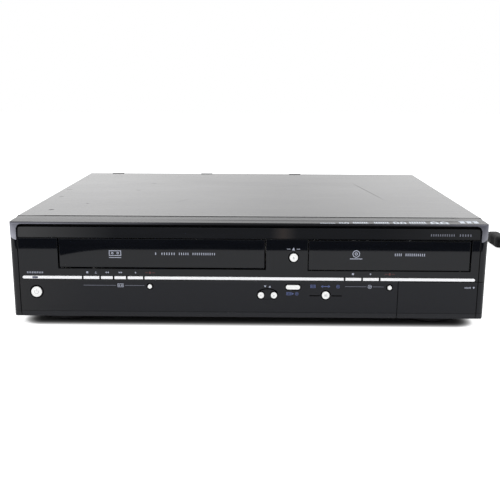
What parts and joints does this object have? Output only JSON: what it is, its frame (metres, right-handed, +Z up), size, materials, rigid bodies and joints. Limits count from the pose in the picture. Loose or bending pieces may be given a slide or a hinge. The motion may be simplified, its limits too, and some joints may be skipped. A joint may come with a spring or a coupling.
{
  "type": "dvd vcr combo player",
  "caption": "Low black disc and video cassette recorder with tray, cassette door, socket flap, keys, working tape deck and disc drive, mains lead.",
  "frame": {"origin": "middle of the recorder's box at the level of the feet, without its lead", "axes": "+X to the right seen from the front, +Y towards the rear sockets, +Z up"},
  "size_m": [0.665, 0.4224, 0.0995],
  "materials": {
    "cover_paint": "fine textured black powder coat",
    "screw_black": "blackened steel",
    "front_plastic": "satin black moulding",
    "gloss_black": "polished black",
    "silver_paint": "pale silver paint",
    "button_white": "smooth pale caps",
    "zinc_steel": "zinc plated sheet",
    "deck_steel": "plated sheet",
    "drum_aluminium": "fine turned",
    "foot_plastic": "black moulding",
    "circuit_board": "solder resist",
    "power_parts": "mixed parts on a pale board",
    "display_glass": "smoked glass",
    "jack_plastic": "black moulding with plated barrels",
    "fan_plastic": "black moulding",
    "lead_rubber": "black flexible cover",
    "plug_rubber": "black moulded plug with brass pins",
    "white_acetal": "natural acetal",
    "roller_rubber": "ground rubber",
    "tray_plastic": "black moulding"
  },
  "bodies": {
    "root": {"top_cover": "cover_paint", "cover_screws": "screw_black", "front_bezel": "front_plastic", "gloss_band": "gloss_black", "silver_trim": "silver_paint", "chassis_pan": "zinc_steel", "rear_panel": "zinc_steel", "tuner_module": "zinc_steel", "door_spring": "zinc_steel", "deck_chassis": "deck_steel", "carriage_brackets": "deck_steel", "drive_frame": "deck_steel", "lower_drum": "drum_aluminium", "feet": "foot_plastic", "main_board": "circuit_board", "key_board": "circuit_board", "power_supply": "power_parts", "display_module": "display_glass", "front_jack_block": "jack_plastic", "rear_jack_block": "jack_plastic", "fan_frame": "fan_plastic", "cord_relief": "lead_rubber", "mains_cord": "lead_rubber", "cord_coil": "lead_rubber", "mains_plug": "plug_rubber"},
    "flap": {"av_flap": "front_plastic"},
    "tape_door": {"cassette_door": "gloss_black"},
    "tray": {"disc_tray": "tray_plastic", "tray_front": "gloss_black"},
    "pinion": {"tray_pinion": "white_acetal"},
    "pickup": {"optical_pickup": "tray_plastic"},
    "feed_screw": {"feed_screw": "deck_steel"},
    "turntable": {"turntable": "tray_plastic"},
    "clamper": {"clamper": "white_acetal"},
    "drum": {"upper_drum": "drum_aluminium"},
    "capstan": {"capstan_flywheel": "deck_steel"},
    "supply_reel": {"supply_reel": "white_acetal"},
    "takeup_reel": {"takeup_reel": "white_acetal"},
    "loading_gear": {"loading_gear": "white_acetal"},
    "entry_guide": {"entry_guide": "deck_steel"},
    "exit_guide": {"exit_guide": "deck_steel"},
    "pinch_arm": {"pinch_arm": "deck_steel"},
    "pinch_roller": {"pinch_roller": "roller_rubber"},
    "driver": {"carriage_driver": "deck_steel"},
    "holder": {"cassette_holder": "deck_steel"},
    "fan": {"fan_rotor": "fan_plastic"},
    "power_button": {"power_button": "button_white"},
    "eject_key": {"eject_key": "silver_paint"},
    "rewind_key": {"rewind_key": "silver_paint"},
    "forward_key": {"forward_key": "silver_paint"},
    "tape_play_key": {"tape_play_key": "silver_paint"},
    "disc_stop_key": {"disc_stop_key": "silver_paint"},
    "disc_play_key": {"disc_play_key": "silver_paint"},
    "tape_record_button": {"tape_record_button": "button_white"},
    "disc_record_button": {"disc_record_button": "button_white"},
    "tray_button": {"tray_button": "button_white"},
    "channel_down_button": {"channel_down_button": "button_white"},
    "channel_up_button": {"channel_up_button": "button_white"},
    "dubbing_button": {"dubbing_button": "button_white"},
    "select_button": {"select_button": "button_white"}
  },
  "joints": [
    {"name": "flap_hinge", "type": "hinge", "parent": "root", "child": "flap", "pos_m": [0.173, -0.1698, 0.013], "axis": [1, 0, 0], "range_deg": [0, 90]},
    {"name": "door_hinge", "type": "hinge", "parent": "root", "child": "tape_door", "pos_m": [-0.0787, -0.1726, 0.0826], "axis": [1, 0, 0], "range_deg": [0, 85], "stiffness_Nm_per_rad": 0.004},
    {"name": "power_button_press", "type": "slide", "parent": "root", "child": "power_button", "axis": [0, 1, 0], "range_m": [0, 0.0008], "stiffness_N_per_m": 400},
    {"name": "eject_key_press", "type": "slide", "parent": "root", "child": "eject_key", "axis": [0, 1, 0], "range_m": [0, 0.0008], "stiffness_N_per_m": 400},
    {"name": "rewind_key_press", "type": "slide", "parent": "root", "child": "rewind_key", "axis": [0, 1, 0], "range_m": [0, 0.0008], "stiffness_N_per_m": 400},
    {"name": "forward_key_press", "type": "slide", "parent": "root", "child": "forward_key", "axis": [0, 1, 0], "range_m": [0, 0.0008], "stiffness_N_per_m": 400},
    {"name": "tape_play_key_press", "type": "slide", "parent": "root", "child": "tape_play_key", "axis": [0, 1, 0], "range_m": [0, 0.0008], "stiffness_N_per_m": 400},
    {"name": "disc_stop_key_press", "type": "slide", "parent": "root", "child": "disc_stop_key", "axis": [0, 1, 0], "range_m": [0, 0.0008], "stiffness_N_per_m": 400},
    {"name": "disc_play_key_press", "type": "slide", "parent": "root", "child": "disc_play_key", "axis": [0, 1, 0], "range_m": [0, 0.0008], "stiffness_N_per_m": 400},
    {"name": "tape_record_button_press", "type": "slide", "parent": "root", "child": "tape_record_button", "axis": [0, 1, 0], "range_m": [0, 0.0008], "stiffness_N_per_m": 400},
    {"name": "disc_record_button_press", "type": "slide", "parent": "root", "child": "disc_record_button", "axis": [0, 1, 0], "range_m": [0, 0.0008], "stiffness_N_per_m": 400},
    {"name": "tray_button_press", "type": "slide", "parent": "root", "child": "tray_button", "axis": [0, 1, 0], "range_m": [0, 0.0008], "stiffness_N_per_m": 400},
    {"name": "channel_down_button_press", "type": "slide", "parent": "root", "child": "channel_down_button", "axis": [0, 1, 0], "range_m": [0, 0.0008], "stiffness_N_per_m": 400},
    {"name": "channel_up_button_press", "type": "slide", "parent": "root", "child": "channel_up_button", "axis": [0, 1, 0], "range_m": [0, 0.0008], "stiffness_N_per_m": 400},
    {"name": "dubbing_button_press", "type": "slide", "parent": "root", "child": "dubbing_button", "axis": [0, 1, 0], "range_m": [0, 0.0008], "stiffness_N_per_m": 400},
    {"name": "select_button_press", "type": "slide", "parent": "root", "child": "select_button", "axis": [0, 1, 0], "range_m": [0, 0.0008], "stiffness_N_per_m": 400},
    {"name": "tray_slide", "type": "slide", "parent": "root", "child": "tray", "axis": [0, -1, 0], "range_m": [0, 0.132]},
    {"name": "pinion_turn", "type": "hinge", "parent": "root", "child": "pinion", "pos_m": [0.07775, -0.1498, 0.055], "axis": [0, 0, 1], "range_deg": [-950, 0]},
    {"name": "pickup_slide", "type": "slide", "parent": "root", "child": "pickup", "axis": [0, 1, 0], "range_m": [0, 0.038]},
    {"name": "screw_turn", "type": "hinge", "parent": "root", "child": "feed_screw", "pos_m": [0.09675, -0.0458, 0.0555], "axis": [0, 1, 0], "range_deg": [0, 4600]},
    {"name": "turntable_spin", "type": "hinge", "parent": "root", "child": "turntable", "pos_m": [0.12875, -0.0968, 0.06], "axis": [0, 0, 1], "continuous": true},
    {"name": "clamper_spin", "type": "hinge", "parent": "root", "child": "clamper", "pos_m": [0.12875, -0.0968, 0.074], "axis": [0, 0, 1], "continuous": true},
    {"name": "drum_spin", "type": "hinge", "parent": "root", "child": "drum", "pos_m": [-0.0787, 0.0292, 0.0495], "axis": [0, -0.1028, 0.9947], "continuous": true},
    {"name": "capstan_spin", "type": "hinge", "parent": "root", "child": "capstan", "pos_m": [-0.0147, -0.0178, 0.04], "axis": [0, 0, 1], "continuous": true},
    {"name": "supply_spin", "type": "hinge", "parent": "root", "child": "supply_reel", "pos_m": [-0.1247, -0.0788, 0.04], "axis": [0, 0, 1], "continuous": true},
    {"name": "takeup_spin", "type": "hinge", "parent": "root", "child": "takeup_reel", "pos_m": [-0.0327, -0.0788, 0.04], "axis": [0, 0, 1], "continuous": true},
    {"name": "loading_turn", "type": "hinge", "parent": "root", "child": "loading_gear", "pos_m": [-0.1537, 0.0122, 0.04], "axis": [0, 0, 1], "range_deg": [0, 150]},
    {"name": "entry_swing", "type": "hinge", "parent": "root", "child": "entry_guide", "pos_m": [-0.0787, 0.0292, 0.037], "axis": [0, 0, 1], "range_deg": [-75, 0]},
    {"name": "exit_swing", "type": "hinge", "parent": "root", "child": "exit_guide", "pos_m": [-0.0787, 0.0292, 0.04], "axis": [0, 0, 1], "range_deg": [0, 75]},
    {"name": "pinch_swing", "type": "hinge", "parent": "root", "child": "pinch_arm", "pos_m": [0.0013, 0.0082, 0.042], "axis": [0, 0, 1], "range_deg": [-25, 0]},
    {"name": "roller_spin", "type": "hinge", "parent": "pinch_arm", "child": "pinch_roller", "pos_m": [0.00211, -0.01509, 0.05], "axis": [0, 0, 1], "continuous": true},
    {"name": "carriage_in", "type": "slide", "parent": "root", "child": "driver", "axis": [0, 1, 0], "range_m": [0, 0.045]},
    {"name": "carriage_drop", "type": "slide", "parent": "driver", "child": "holder", "axis": [0, 0, -1], "range_m": [0, 0.017]},
    {"name": "fan_spin", "type": "hinge", "parent": "root", "child": "fan", "pos_m": [0.044, 0.1612, 0.0555], "axis": [0, 1, 0], "continuous": true}
  ],
  "couplings": [
    {"joint": "pinion_turn", "follows": "tray_slide", "rad_per_m": -125},
    {"joint": "screw_turn", "follows": "pickup_slide", "rad_per_m": 2094.4},
    {"joint": "clamper_spin", "follows": "turntable_spin", "ratio": 1},
    {"joint": "entry_swing", "follows": "loading_turn", "ratio": -0.5},
    {"joint": "exit_swing", "follows": "loading_turn", "ratio": 0.5},
    {"joint": "pinch_swing", "follows": "loading_turn", "ratio": -0.16667}
  ]
}
